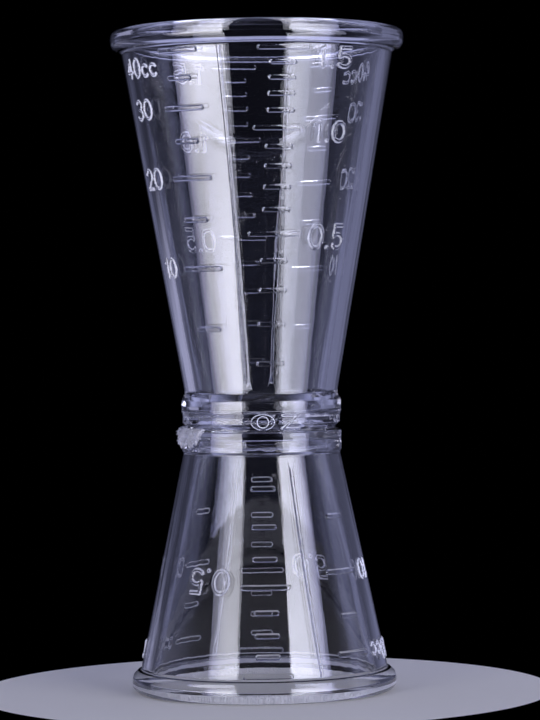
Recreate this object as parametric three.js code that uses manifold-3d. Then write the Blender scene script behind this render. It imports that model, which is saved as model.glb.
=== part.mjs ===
import * as THREE from 'three';
import { mergeVertices } from 'three/addons/utils/BufferGeometryUtils.js';
import Module from 'manifold-3d';

// A clear double jigger: two conical measuring cups, moulded separately and cemented foot to foot.
// Millimetres, +Z up, standing on the small cup's mouth, with the marked front towards -Y.
// Each cup is drawn mouth up with the underside of its foot at height zero, then placed at the seam.

// Large cup
const LARGE_HEIGHT = 63.35;
const LARGE_MOUTH_DIAMETER = 44.6;
const LARGE_NECK_DIAMETER = 22.35;
const LARGE_WALL = 1.8;
const LARGE_FLOOR = 2.75;
const LARGE_RIM_DIAMETER = 46.8;
const LARGE_FOOT_DIAMETER = 25.5;
const LARGE_FOOT_HEIGHT = 4.5;
const LARGE_FOOT_SLOPE = 1.2;

// Recessed band round the lower half of the large foot
const BAND_DIAMETER = 25.1;
const BAND_HEIGHT = 2.25;
const BAND_EDGE = 0.15;

// Small cup
const SMALL_HEIGHT = 41.55;
const SMALL_MOUTH_DIAMETER = 40.85;
const SMALL_NECK_DIAMETER = 23.5;
const SMALL_WALL = 1.8;
const SMALL_FLOOR = 1.25;
const SMALL_RIM_DIAMETER = 42.2;
const SMALL_FOOT_DIAMETER = 25.5;
const SMALL_FOOT_HEIGHT = 3.2;
const SMALL_FOOT_SLOPE = 0.4;

// Rolled bead at both mouths, and the fillet between each wall and floor
const RIM_HEIGHT = 3.45;
const RIM_CREST_DEPTH = 1.25;
const RIM_LAND = 1.0;
const LIP_CHAMFER = 0.3;
const FLOOR_FILLET = 1.0;

// Cemented seam: the film between the feet, the bevels that make its groove, and the squeezed-out lump
const CEMENT_FILM = 0.3;
const SEAM_BEVEL = 0.9;
const CEMENT_CLEARANCE = 0.3;
const FLASH_ANGLE = -82;
const FLASH_LENGTH = 15;
const FLASH_DROP = 2.6;
const FLASH_THICKNESS = 0.3;
const FLASH_TEETH = 7;
const FLASH_TOOTH = 0.7;

// Raised graduations: drafted bars with round ends
const MARK_WIDTH = 0.7;
const MARK_RELIEF = 0.3;
const MARK_DRAFT = 0.12;
const MARK_ROOT = 0.35;
const MARK_STEP = 2.2;
const MARK_SETS = 2;

// Volumes in cubic centimetres between graduations, and the columns' places in degrees from the front
const CC_STEP = 5;
const CC_PER_LONG = 2;
const LARGE_CC_TICKS = 8;
const LARGE_FINE_STEP = 2.667;
const LARGE_FINE_TICKS = 15;
const LARGE_FINE_PER_LONG = 5;
const SMALL_CC_TICKS = 4;
const SMALL_FINE_STEP = 2.835;
const SMALL_FINE_TICKS = 8;
const SMALL_FINE_PER_LONG = 4;
const LARGE_CC_ANGLE_FOOT = -35;
const LARGE_CC_ANGLE_MOUTH = -35.3;
const LARGE_FINE_ANGLE_FOOT = 6;
const LARGE_FINE_ANGLE_MOUTH = 11.7;
const SMALL_CC_ANGLE_FOOT = -51.9;
const SMALL_CC_ANGLE_MOUTH = -46.8;
const SMALL_FINE_ANGLE_FOOT = -0.1;
const SMALL_FINE_ANGLE_MOUTH = -2.1;
const LARGE_SHORT_TICK = 4.1;
const LARGE_LONG_CC_TICK = 7.1;
const LARGE_LONG_FINE_TICK = 8.1;
const SMALL_SHORT_TICK = 3.75;
const SMALL_LONG_CC_TICK = 6.8;
const SMALL_LONG_FINE_TICK = 7.75;

// Straight rib up each side of both cups, along the mould's parting line
const RIB_WIDTH = 0.6;
const RIB_RELIEF = 0.25;
const RIB_START = 1.2;
const LARGE_RIB_ANGLE_FOOT = -8.6;
const LARGE_RIB_ANGLE_MOUTH = -16.4;
const SMALL_RIB_ANGLE_FOOT = -19.1;
const SMALL_RIB_ANGLE_MOUTH = -27.9;

// Facets
const TURN_SEGMENTS = 64;
const BEAD_SEGMENTS = 4;
const FILLET_SEGMENTS = 3;
const END_SEGMENTS = 3;

const wasm = await Module();
wasm.setup();

/** Closed geometry to a solid: weld the vertices and leave out triangles that collapsed on the axis. */
function toSolid(geometry) {
  const bare = geometry.index ? geometry.toNonIndexed() : geometry.clone();
  bare.deleteAttribute('normal');
  bare.deleteAttribute('uv');
  const welded = mergeVertices(bare, 1e-4);
  const kept = [];
  for (let i = 0; i < welded.index.count; i += 3) {
    const [a, b, c] = [0, 1, 2].map((corner) => welded.index.getX(i + corner));
    if (a !== b && b !== c && c !== a) kept.push(a, b, c);
  }
  const mesh = new wasm.Mesh({
    numProp: 3,
    vertProperties: new Float32Array(welded.attributes.position.array),
    triVerts: new Uint32Array(kept),
  });
  return new wasm.Manifold(mesh);
}

/** Solid back to a geometry that a mesh can carry. */
function toGeometry(solid) {
  const mesh = solid.getMesh();
  const geometry = new THREE.BufferGeometry();
  geometry.setAttribute('position', new THREE.BufferAttribute(mesh.vertProperties, mesh.numProp));
  geometry.setIndex(new THREE.BufferAttribute(mesh.triVerts, 1));
  geometry.computeVertexNormals();
  return geometry;
}

/** Profile of radius and height, turned about the Z axis. */
function turned(profile) {
  return new THREE.LatheGeometry(profile, TURN_SEGMENTS).rotateX(Math.PI / 2);
}

/** Points of a quarter or part ellipse from one angle to another, both ends included. */
function arc(centre, radiusX, radiusY, from, to, segments) {
  const points = [];
  for (let i = 0; i <= segments; i++) {
    const angle = from + ((to - from) * i) / segments;
    points.push(new THREE.Vector2(centre.x + radiusX * Math.cos(angle), centre.y + radiusY * Math.sin(angle)));
  }
  return points;
}

/** Straight cone of a cup's wall: slope, and radii of its outside and inside at a height. */
function coneOf(cup) {
  const slope = (cup.mouthDiameter - cup.neckDiameter) / 2 / cup.height;
  const outside = (z) => cup.neckDiameter / 2 + slope * z;
  const inside = (z) => outside(z) - cup.wall;
  return { slope, outside, inside };
}

/** Height above the foot at which the conical bowl holds a volume given in cubic centimetres. */
function fillHeight(cup, volume) {
  const { slope, inside } = coneOf(cup);
  const floorRadius = inside(cup.floor);
  const surfaceRadius = Math.cbrt(floorRadius ** 3 + (3 * slope * volume * 1000) / Math.PI);
  return cup.floor + (surfaceRadius - floorRadius) / slope;
}

/** Outline of the foot: seam bevel, the recessed band where there is one, and the slope up to the wall. */
function footProfile(cup) {
  const cone = coneOf(cup);
  const footRadius = cup.footDiameter / 2;
  const seamRadius = cup.band ? cup.band.diameter / 2 : footRadius;
  const points = [
    new THREE.Vector2(0, 0),
    new THREE.Vector2(seamRadius - SEAM_BEVEL, 0),
    new THREE.Vector2(seamRadius, SEAM_BEVEL),
  ];
  if (cup.band) {
    points.push(new THREE.Vector2(seamRadius, cup.band.height));
    points.push(new THREE.Vector2(footRadius, cup.band.height + BAND_EDGE));
  }
  const shoulder = cup.footHeight + cup.footSlope;
  points.push(new THREE.Vector2(footRadius, cup.footHeight));
  points.push(new THREE.Vector2(cone.outside(shoulder), shoulder));
  return points;
}

/** Outline of the rim: a bead that is round below, with a flat land on top and a chamfer on the lip. */
function rimProfile(cup) {
  const cone = coneOf(cup);
  const crest = cup.height - RIM_CREST_DEPTH;
  const crestRadius = cup.rimDiameter / 2;
  const wallRadius = cone.outside(cup.height - RIM_HEIGHT);
  const lipRadius = cone.inside(cup.height) + LIP_CHAMFER;
  const landRadius = lipRadius + RIM_LAND;
  const under = new THREE.Vector2(wallRadius, crest);
  const over = new THREE.Vector2(landRadius, crest);
  const quarter = Math.PI / 2;
  return [
    ...arc(under, crestRadius - wallRadius, RIM_HEIGHT - RIM_CREST_DEPTH, -quarter, 0, BEAD_SEGMENTS),
    ...arc(over, crestRadius - landRadius, RIM_CREST_DEPTH, 0, quarter, BEAD_SEGMENTS).slice(1),
    new THREE.Vector2(lipRadius, cup.height),
    new THREE.Vector2(cone.inside(cup.height - LIP_CHAMFER), cup.height - LIP_CHAMFER),
  ];
}

/** Outline of the bowl's bottom: an arc that touches the inside of the wall and the floor. */
function floorProfile(cup) {
  const cone = coneOf(cup);
  const lean = Math.hypot(1, cone.slope);
  const centreHeight = cup.floor + FLOOR_FILLET;
  const centre = new THREE.Vector2(cone.inside(centreHeight) - FLOOR_FILLET * lean, centreHeight);
  const wallAngle = -Math.atan(cone.slope);
  return [
    ...arc(centre, FLOOR_FILLET, FLOOR_FILLET, wallAngle, -Math.PI / 2, FILLET_SEGMENTS),
    new THREE.Vector2(0, cup.floor),
  ];
}

/** Flat bar with round ends, lying along X and raised along Z, with points along its sides to bend it by. */
function barGeometry(length, width, relief) {
  const end = width / 2;
  const reach = length / 2 - end;
  const steps = Math.max(1, Math.round((2 * reach) / MARK_STEP));
  const half = Math.PI / 2;
  const outline = [];
  for (let i = 0; i < steps; i++) {
    outline.push(new THREE.Vector2(-reach + (2 * reach * i) / steps, -end));
  }
  outline.push(...arc(new THREE.Vector2(reach, 0), end, end, -half, half, END_SEGMENTS));
  for (let i = 1; i < steps; i++) {
    outline.push(new THREE.Vector2(reach - (2 * reach * i) / steps, end));
  }
  outline.push(...arc(new THREE.Vector2(-reach, 0), end, end, half, 3 * half, END_SEGMENTS).slice(0, -1));
  const bar = new THREE.ExtrudeGeometry(new THREE.Shape(outline), {
    depth: relief + MARK_ROOT,
    bevelEnabled: false,
  });
  return drafted(bar.translate(0, 0, -MARK_ROOT), reach, end);
}

/** Draw the top of a bar in towards its spine, so that its sides lean as moulded ones do. */
function drafted(bar, reach, end) {
  const position = bar.attributes.position;
  const shrink = (end - MARK_DRAFT) / end;
  for (let i = 0; i < position.count; i++) {
    if (position.getZ(i) < 0) continue;
    const spine = THREE.MathUtils.clamp(position.getX(i), -reach, reach);
    position.setX(i, spine + (position.getX(i) - spine) * shrink);
    position.setY(i, position.getY(i) * shrink);
  }
  return bar;
}

/** Angle of a mark's line at a height, in degrees, which shifts evenly from the foot to the mouth. */
function angleAt(cup, line, z) {
  return THREE.MathUtils.lerp(line.footAngle, line.mouthAngle, z / cup.height);
}

/** Wrap a flat piece on a cone: X runs round it, Y up its slope and Z out from its surface. */
function wrapped(geometry, angle, height, surface, slope) {
  const lean = Math.atan(slope);
  const position = geometry.attributes.position;
  for (let i = 0; i < position.count; i++) {
    const base = height + position.getY(i) * Math.cos(lean);
    const turn = THREE.MathUtils.degToRad(angle(base)) + position.getX(i) / surface(base);
    const radius = surface(base) + position.getZ(i) * Math.cos(lean);
    const up = base - position.getZ(i) * Math.sin(lean);
    position.setXYZ(i, radius * Math.sin(turn), -radius * Math.cos(turn), up);
  }
  return geometry;
}

/** Solids of one column of ticks, from the lowest volume to the highest, with a longer tick every so many. */
function tickColumn(cup, column, turn) {
  const cone = coneOf(cup);
  const solids = [];
  for (let i = 1; i <= column.ticks; i++) {
    const length = i % column.perLong === 0 ? column.longTick : column.shortTick;
    const bar = barGeometry(length, MARK_WIDTH, MARK_RELIEF);
    const height = fillHeight(cup, i * column.step);
    const angle = angleAt(cup, column, height) + turn;
    solids.push(toSolid(wrapped(bar, () => angle, height, cone.outside, cone.slope)));
  }
  return solids;
}

/** Solid of one straight rib from above the foot into the rim's bead. */
function ribSolid(cup, turn) {
  const cone = coneOf(cup);
  const bottom = cup.footHeight + cup.footSlope + RIB_START;
  const top = cup.height - RIM_CREST_DEPTH;
  const length = (top - bottom) * Math.hypot(1, cone.slope);
  const bar = barGeometry(length, RIB_WIDTH, RIB_RELIEF).rotateZ(Math.PI / 2);
  const angle = (z) => angleAt(cup, cup.rib, z) + turn;
  return toSolid(wrapped(bar, angle, (bottom + top) / 2, cone.outside, cone.slope));
}

/** One cup: the turned body with its two opposite sets of graduations and ribs. */
function cupSolid(cup) {
  const body = toSolid(turned([...footProfile(cup), ...rimProfile(cup), ...floorProfile(cup)]));
  const marks = [];
  for (let set = 0; set < MARK_SETS; set++) {
    const turn = (360 / MARK_SETS) * set;
    for (const column of cup.columns) marks.push(...tickColumn(cup, column, turn));
    marks.push(ribSolid(cup, turn));
  }
  return marks.reduce((whole, mark) => whole.add(mark), body);
}

/** Ring of cement in the groove between the bevels, drawn about the seam's middle plane. */
function cementRing() {
  const largeRadius = BAND_DIAMETER / 2;
  const smallRadius = SMALL_FOOT_DIAMETER / 2;
  const slack = CEMENT_CLEARANCE * Math.SQRT2;
  const halfFilm = CEMENT_FILM / 2;
  const outerRadius = Math.min(largeRadius, smallRadius);
  const innerRadius = Math.max(largeRadius, smallRadius) - SEAM_BEVEL + slack - halfFilm;
  const upper = halfFilm + SEAM_BEVEL - (largeRadius - outerRadius) - slack;
  const lower = -halfFilm - SEAM_BEVEL + (smallRadius - outerRadius) + slack;
  const profile = [
    new THREE.Vector2(innerRadius, 0),
    new THREE.Vector2(outerRadius, lower),
    new THREE.Vector2(outerRadius, upper),
    new THREE.Vector2(innerRadius, 0),
  ];
  return toSolid(turned(profile));
}

/** Strip bent round the seam: radii of its two faces, and its top and bottom at a share of its length. */
function seamStrip(innerRadius, outerRadius, top, bottom) {
  const strip = new THREE.BoxGeometry(FLASH_LENGTH, 1, outerRadius - innerRadius, FLASH_TEETH * 2);
  const position = strip.attributes.position;
  for (let i = 0; i < position.count; i++) {
    const along = position.getX(i) / FLASH_LENGTH + 0.5;
    position.setY(i, position.getY(i) > 0 ? top : bottom(along));
  }
  const middle = (innerRadius + outerRadius) / 2;
  return toSolid(wrapped(strip, () => FLASH_ANGLE, 0, () => middle, 0));
}

/** Lump of squeezed-out cement: a ragged tongue over the small foot, and the root that ties it to the ring. */
function cementFlash() {
  const faceRadius = SMALL_FOOT_DIAMETER / 2 + CEMENT_CLEARANCE;
  const rootRadius = BAND_DIAMETER / 2 - CEMENT_CLEARANCE;
  const top = SEAM_BEVEL / 3;
  const ragged = (along) => {
    const notch = Math.round(along * FLASH_TEETH * 2) % 2 === 0 ? FLASH_TOOTH : 0;
    return -top - (FLASH_DROP - notch) * Math.sqrt(Math.sin(Math.PI * along));
  };
  const tongue = seamStrip(faceRadius, faceRadius + FLASH_THICKNESS, top, ragged);
  const root = seamStrip(rootRadius, faceRadius + FLASH_THICKNESS / 2, top, () => -top);
  return tongue.add(root);
}

/** Finish of clear moulded plastic in a given tint. */
function clearPlastic(colour, roughness) {
  return new THREE.MeshStandardMaterial({ color: colour, roughness, metalness: 0 });
}

const LARGE_CUP = {
  height: LARGE_HEIGHT,
  mouthDiameter: LARGE_MOUTH_DIAMETER,
  neckDiameter: LARGE_NECK_DIAMETER,
  wall: LARGE_WALL,
  floor: LARGE_FLOOR,
  rimDiameter: LARGE_RIM_DIAMETER,
  footDiameter: LARGE_FOOT_DIAMETER,
  footHeight: LARGE_FOOT_HEIGHT,
  footSlope: LARGE_FOOT_SLOPE,
  band: { diameter: BAND_DIAMETER, height: BAND_HEIGHT },
  rib: { footAngle: LARGE_RIB_ANGLE_FOOT, mouthAngle: LARGE_RIB_ANGLE_MOUTH },
  columns: [
    {
      step: CC_STEP,
      ticks: LARGE_CC_TICKS,
      perLong: CC_PER_LONG,
      shortTick: LARGE_SHORT_TICK,
      longTick: LARGE_LONG_CC_TICK,
      footAngle: LARGE_CC_ANGLE_FOOT,
      mouthAngle: LARGE_CC_ANGLE_MOUTH,
    },
    {
      step: LARGE_FINE_STEP,
      ticks: LARGE_FINE_TICKS,
      perLong: LARGE_FINE_PER_LONG,
      shortTick: LARGE_SHORT_TICK,
      longTick: LARGE_LONG_FINE_TICK,
      footAngle: LARGE_FINE_ANGLE_FOOT,
      mouthAngle: LARGE_FINE_ANGLE_MOUTH,
    },
  ],
};

const SMALL_CUP = {
  height: SMALL_HEIGHT,
  mouthDiameter: SMALL_MOUTH_DIAMETER,
  neckDiameter: SMALL_NECK_DIAMETER,
  wall: SMALL_WALL,
  floor: SMALL_FLOOR,
  rimDiameter: SMALL_RIM_DIAMETER,
  footDiameter: SMALL_FOOT_DIAMETER,
  footHeight: SMALL_FOOT_HEIGHT,
  footSlope: SMALL_FOOT_SLOPE,
  band: null,
  rib: { footAngle: SMALL_RIB_ANGLE_FOOT, mouthAngle: SMALL_RIB_ANGLE_MOUTH },
  columns: [
    {
      step: CC_STEP,
      ticks: SMALL_CC_TICKS,
      perLong: CC_PER_LONG,
      shortTick: SMALL_SHORT_TICK,
      longTick: SMALL_LONG_CC_TICK,
      footAngle: SMALL_CC_ANGLE_FOOT,
      mouthAngle: SMALL_CC_ANGLE_MOUTH,
    },
    {
      step: SMALL_FINE_STEP,
      ticks: SMALL_FINE_TICKS,
      perLong: SMALL_FINE_PER_LONG,
      shortTick: SMALL_SHORT_TICK,
      longTick: SMALL_LONG_FINE_TICK,
      footAngle: SMALL_FINE_ANGLE_FOOT,
      mouthAngle: SMALL_FINE_ANGLE_MOUTH,
    },
  ],
};

const jigger = new THREE.Group();

const smallCup = new THREE.Mesh(toGeometry(cupSolid(SMALL_CUP)), clearPlastic(0xdfe1f2, 0.06));
smallCup.name = 'small_cup';
smallCup.rotation.y = Math.PI;
smallCup.position.z = SMALL_HEIGHT;
jigger.add(smallCup);

const largeCup = new THREE.Mesh(toGeometry(cupSolid(LARGE_CUP)), clearPlastic(0xe2e4f4, 0.05));
largeCup.name = 'large_cup';
largeCup.position.z = SMALL_HEIGHT + CEMENT_FILM;
jigger.add(largeCup);

const cementBead = new THREE.Mesh(toGeometry(cementRing().add(cementFlash())), clearPlastic(0xeeeef6, 0.45));
cementBead.name = 'cement_bead';
cementBead.position.z = SMALL_HEIGHT + CEMENT_FILM / 2;
jigger.add(cementBead);

export default jigger;
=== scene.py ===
"""Clear moulded double jigger: two conical measuring cups cemented foot to foot.

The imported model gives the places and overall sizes, and this script dresses them. Each cup becomes one
closed surface of revolution whose outside carries the raised scale, the digits and the parting rib as a
height field. Sizes are in millimetres and angles in degrees from the front, positive to the right, until
a mesh is made in metres.
"""

import logging
import math
from dataclasses import dataclass, replace
from enum import Enum, IntEnum
from typing import ClassVar

import bpy
import numpy as np
from mathutils import Matrix, Vector


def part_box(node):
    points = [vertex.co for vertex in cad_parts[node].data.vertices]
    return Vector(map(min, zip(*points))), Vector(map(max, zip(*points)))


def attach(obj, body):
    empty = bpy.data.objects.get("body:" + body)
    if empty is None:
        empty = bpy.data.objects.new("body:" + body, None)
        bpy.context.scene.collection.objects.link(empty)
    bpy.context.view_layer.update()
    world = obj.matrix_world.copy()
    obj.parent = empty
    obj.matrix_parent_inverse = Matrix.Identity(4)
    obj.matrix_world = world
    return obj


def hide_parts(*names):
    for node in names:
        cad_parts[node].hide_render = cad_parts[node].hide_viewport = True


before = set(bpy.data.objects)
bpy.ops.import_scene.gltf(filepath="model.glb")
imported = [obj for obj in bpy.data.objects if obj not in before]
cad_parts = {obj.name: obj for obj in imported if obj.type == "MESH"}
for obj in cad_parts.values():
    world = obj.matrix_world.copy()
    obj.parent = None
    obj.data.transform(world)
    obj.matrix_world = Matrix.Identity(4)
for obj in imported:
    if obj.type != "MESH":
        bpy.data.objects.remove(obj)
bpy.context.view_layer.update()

LOG = logging.getLogger("jigger")

# Metres in a millimetre, cubic millimetres in a cubic centimetre, and a length too small to matter.
METRES = 0.001
CUBIC_MILLIMETRES = 1000.0
TINY = 1e-9

# A colour, a colour with its opacity, rows of a place and the light there, and an end of a link.
Colour = tuple[float, float, float]
Rgba = tuple[float, float, float, float]
Levels = tuple[tuple[float, float], ...]
Socket = bpy.types.NodeSocket


class Stand(Enum):
    """Which way a cup's mouth points in the assembly."""

    MOUTH_UP = 1
    MOUTH_DOWN = -1


class FaceFinish(IntEnum):
    """Material numbers of a cup's faces: polished, bonded to the other cup, satin, frosted or scuffed."""

    CLEAR = 0
    BONDED = 1
    SATIN = 2
    FROSTED = 3
    SCUFFED = 4


class Sampling(Enum):
    """Where a raised mark has its points: only along its edges, as on a tick, or evenly all over."""

    EDGES = "edges"
    EVEN = "even"


# Profiles


@dataclass(frozen=True)
class Outline:
    """A run of profile points with their outward normals, as rows of radius and height."""

    points: np.ndarray
    normals: np.ndarray

    def part(self, chosen: np.ndarray | slice) -> "Outline":
        """The points that an array of numbers or a slice picks out."""
        return Outline(self.points[chosen], self.normals[chosen])


def rounded_outline(corners: np.ndarray, radii: np.ndarray, steps: int) -> Outline:
    """Rounds each inner corner of a polyline by an arc that touches both of its sides.

    An arc starts the radius times the tangent of half the turn before the corner. Its normal turns evenly
    from that of the side before to that of the side after, and its points lie one radius along the normal
    from the arc's centre, on the outer side at a convex corner and on the inner side at a hollow one.

    Args:
        corners: rows of radius and height, with the solid on the left of the way they run.
        radii: one radius for each inner corner.
        steps: chords in each arc.

    Returns:
        The arcs' points in order, with the two end corners left out.
    """
    way = np.diff(corners, axis=0)
    way /= np.linalg.norm(way, axis=1, keepdims=True)
    before, after = way[:-1], way[1:]
    cross = before[:, 0] * after[:, 1] - before[:, 1] * after[:, 0]
    turn = np.arctan2(cross, np.sum(before * after, axis=1))
    side = np.sign(turn)
    start = corners[1:-1] - before * (radii * np.tan(np.abs(turn) / 2))[:, None]
    normal = np.column_stack((before[:, 1], -before[:, 0]))
    centre = start - normal * (side * radii)[:, None]
    swing = turn[:, None] * np.linspace(0.0, 1.0, steps + 1)
    normals = np.stack(
        (
            normal[:, :1] * np.cos(swing) - normal[:, 1:] * np.sin(swing),
            normal[:, :1] * np.sin(swing) + normal[:, 1:] * np.cos(swing),
        ),
        axis=-1,
    )
    points = centre[:, None, :] + normals * (side * radii)[:, None, None]
    return Outline(points.reshape(-1, 2), normals.reshape(-1, 2))


# Raised marks


def polyline(*points: tuple[float, float]) -> np.ndarray:
    """Straight pieces from point to point, one row of two ends each."""
    run = np.array(points, dtype=float)
    return np.hstack((run[:-1], run[1:]))


# Degrees of an ellipse in one straight piece, and the fewest pieces along it.
CURVE_STEP = 15.0
FEWEST_PIECES = 4


def bow(x: float, y: float, rx: float, ry: float, start: float, stop: float) -> np.ndarray:
    """Straight pieces along an ellipse.

    Args:
        x: place of the centre along the line.
        y: place of the centre up it.
        rx: half the ellipse's width.
        ry: half the ellipse's height.
        start: angle of the first point in degrees.
        stop: angle of the last point in degrees.

    Returns:
        One row of two ends for each piece.
    """
    pieces = max(FEWEST_PIECES, round(abs(stop - start) / CURVE_STEP))
    angle = np.radians(np.linspace(start, stop, pieces + 1))
    return polyline(*np.column_stack((x + rx * np.cos(angle), y + ry * np.sin(angle))))


@dataclass(frozen=True)
class Glyph:
    """One character as a pen's path in units of its height, and its room along the line."""

    strokes: np.ndarray
    room: float


# Half widths of the ovals of a bold O, so close to each other that their strokes run together.
BOLD_OVALS = (0.36, 0.317, 0.273, 0.23)

GLYPHS: dict[str, Glyph] = {
    "0": Glyph(bow(0.32, 0.5, 0.27, 0.44, 0, 360), 0.72),
    "1": Glyph(polyline((0.06, 0.76), (0.26, 0.94), (0.26, 0.06)), 0.48),
    "2": Glyph(np.vstack((
        bow(0.31, 0.68, 0.25, 0.26, 165, -35),
        polyline((0.515, 0.531), (0.06, 0.06), (0.58, 0.06)),
    )), 0.72),
    "3": Glyph(np.vstack((
        bow(0.29, 0.72, 0.22, 0.22, 150, -90),
        bow(0.29, 0.28, 0.26, 0.22, 90, -150),
    )), 0.68),
    "4": Glyph(polyline((0.44, 0.06), (0.44, 0.94), (0.05, 0.32), (0.62, 0.32)), 0.76),
    "5": Glyph(np.vstack((
        polyline((0.54, 0.94), (0.14, 0.94), (0.10, 0.53)),
        bow(0.29, 0.33, 0.26, 0.27, 136, -145),
    )), 0.70),
    ".": Glyph(polyline((0.10, 0.07), (0.12, 0.07)), 0.30),
    "c": Glyph(bow(0.29, 0.33, 0.23, 0.27, 48, 312), 0.60),
    "O": Glyph(np.vstack([bow(0.42, 0.5, rx, 0.44, 0, 360) for rx in BOLD_OVALS]), 1.02),
    "Z": Glyph(polyline((0.08, 0.94), (0.66, 0.94), (0.08, 0.06), (0.68, 0.06)), 0.76),
}


def lettering(text: str, height: float, width: float) -> np.ndarray:
    """The pen's path of a line of characters, fitted to a height and width and centred on both.

    Args:
        text: characters that the glyph table holds.
        height: height of the line over its strokes' spines.
        width: length of the line over its strokes' spines.

    Returns:
        Rows of two ends, each end along the line and up it.
    """
    starts = np.cumsum([0.0] + [GLYPHS[letter].room for letter in text])
    runs = [
        GLYPHS[letter].strokes + np.array((start, 0.0, start, 0.0))
        for letter, start in zip(text, starts)
    ]
    path = np.vstack(runs).reshape(-1, 2)
    low, high = path.min(axis=0), path.max(axis=0)
    path = (path - (low + high) / 2) / (high - low) * np.array((width, height))
    return path.reshape(-1, 4)


@dataclass(frozen=True)
class Section:
    """Cross-section of a raised stroke: a flat top, with sides that ease in and out over an edge.

    The sides have the finish of the half of the mould that shaped them, front or back.
    """

    width: float
    relief: float
    edge: float
    pitch: float
    finish: FaceFinish = FaceFinish.CLEAR
    back_finish: FaceFinish = FaceFinish.CLEAR

    def behind(self) -> "Section":
        """The same section as the back half of the mould shapes it."""
        return replace(self, finish=self.back_finish)


# Width, relief, edge and pitch in millimetres, and the sides' finishes in front and behind.
LARGE_TICK = Section(0.95, 0.2, 0.3, 0.1)
SMALL_TICK = Section(0.95, 0.24, 0.22, 0.1, FaceFinish.CLEAR, FaceFinish.SCUFFED)
METRIC_PEN = Section(0.62, 0.25, 0.29, 0.13, FaceFinish.FROSTED, FaceFinish.FROSTED)
OUNCE_PEN = Section(0.72, 0.25, 0.24, 0.13, FaceFinish.SATIN, FaceFinish.FROSTED)
BAND_PEN = Section(0.5, 0.2, 0.17, 0.07, FaceFinish.FROSTED, FaceFinish.FROSTED)
RIB = Section(0.7, 0.22, 0.22, 0.07, FaceFinish.CLEAR, FaceFinish.FROSTED)


@dataclass(frozen=True)
class Mark:
    """A raised mark: strokes of one section about a place on the wall.

    The strokes are rows of two ends, along the wall and up it, in millimetres. A slant turns the place
    round the cup as it goes up, in degrees for each millimetre. A seat is the least radius that the
    mark stands on, which carries it level across a bevel.
    """

    EDGE_STEPS: ClassVar[int] = 6

    strokes: np.ndarray
    section: Section
    sampling: Sampling
    angle: float
    height: float
    slant: float = 0.0
    seat: float = 0.0

    def reach(self) -> tuple[np.ndarray, np.ndarray]:
        """Lowest and highest corner of the mark over its rounded edges."""
        ends = self.strokes.reshape(-1, 2)
        return ends.min(axis=0) - self.section.width / 2, ends.max(axis=0) + self.section.width / 2

    def spread(self, low: float, high: float) -> np.ndarray:
        """Sample places from one end to another, with a bare one beyond each end.

        Even places are whole multiples of the pitch, so that marks beside each other share their rows.

        Args:
            low: the lower end in millimetres.
            high: the upper end.

        Returns:
            Rising places.
        """
        section = self.section
        if self.sampling is Sampling.EVEN:
            first, last = math.floor(low / section.pitch), math.ceil(high / section.pitch)
            return section.pitch * np.arange(first - 1, last + 2)
        rise = section.width / 2 * np.linspace(0.0, 1.0, self.EDGE_STEPS)
        inner = np.concatenate((low + rise, high - rise[::-1]))
        return np.concatenate(((low - section.pitch,), inner, (high + section.pitch,)))

    def rows(self) -> np.ndarray:
        """Heights on the wall at which the mark needs a ring of points."""
        low, high = self.reach()
        return self.spread(self.height + low[1], self.height + high[1])

    def span(self) -> tuple[float, float]:
        """Lowest and highest of those heights."""
        rows = self.rows()
        return rows[0], rows[-1]

    def columns(self, radius: float, heights: np.ndarray) -> np.ndarray:
        """Angles at which the mark needs points.

        Args:
            radius: radius of the rings in millimetres.
            heights: the rings' rising heights.

        Returns:
            Rising angles in degrees.
        """
        low, high = self.reach()
        ends = np.radians(np.sort(self.angle_at(heights[[0, -1]]))) * radius
        return np.degrees(self.spread(ends[0] + low[0], ends[1] + high[0]) / radius)

    def angle_at(self, height: np.ndarray | float) -> np.ndarray | float:
        """Angle of the mark's middle at a height, in degrees."""
        return self.angle + self.slant * (height - self.height)

    def relief_at(self, along: np.ndarray, up: np.ndarray) -> tuple[np.ndarray, np.ndarray, np.ndarray]:
        """Height of the mark and its two slopes.

        The distance from the mark's border inwards, as a share of the edge's width and held to one, goes
        through three squares less two cubes, times the relief. The border lies half a width from the
        nearest stroke's spine, so a stroke has round ends.

        Args:
            along: places along the wall, from the mark's middle.
            up: places up the wall, from the mark's middle.

        Returns:
            Height, slope along and slope up, each in the shape of the places.
        """
        place = np.stack((along, up), axis=-1)[..., None, :]
        start, stop = self.strokes[:, :2], self.strokes[:, 2:]
        run = stop - start
        length_squared = np.maximum(np.sum(run * run, axis=-1), TINY)
        share = np.sum((place - start) * run, axis=-1) / length_squared
        nearest = start + np.clip(share, 0.0, 1.0)[..., None] * run
        off = place - nearest
        pick = np.argmin(np.sum(off * off, axis=-1), axis=-1)
        off = np.take_along_axis(off, pick[..., None, None], axis=-2)[..., 0, :]
        distance = np.linalg.norm(off, axis=-1)
        section = self.section
        share = np.clip((section.width / 2 - distance) / section.edge, 0.0, 1.0)
        height = section.relief * share * share * (3.0 - 2.0 * share)
        fall = section.relief * 6.0 * share * (1.0 - share) / section.edge
        slope = -off * (fall / np.maximum(distance, TINY))[..., None]
        return height, slope[..., 0], slope[..., 1]


@dataclass(frozen=True)
class TickColumn:
    """A column of ticks: their section, volume between ticks in cubic centimetres, lengths and place."""

    bar: Section
    step: float
    ticks: int
    per_long: int
    short: float
    long: float
    foot_angle: float
    mouth_angle: float


@dataclass(frozen=True)
class Label:
    """Characters on the wall: their pen, text, middle's angle and height, and size over the strokes."""

    pen: Section
    text: str
    angle: float
    height: float
    tall: float
    wide: float


# Meshes


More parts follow.
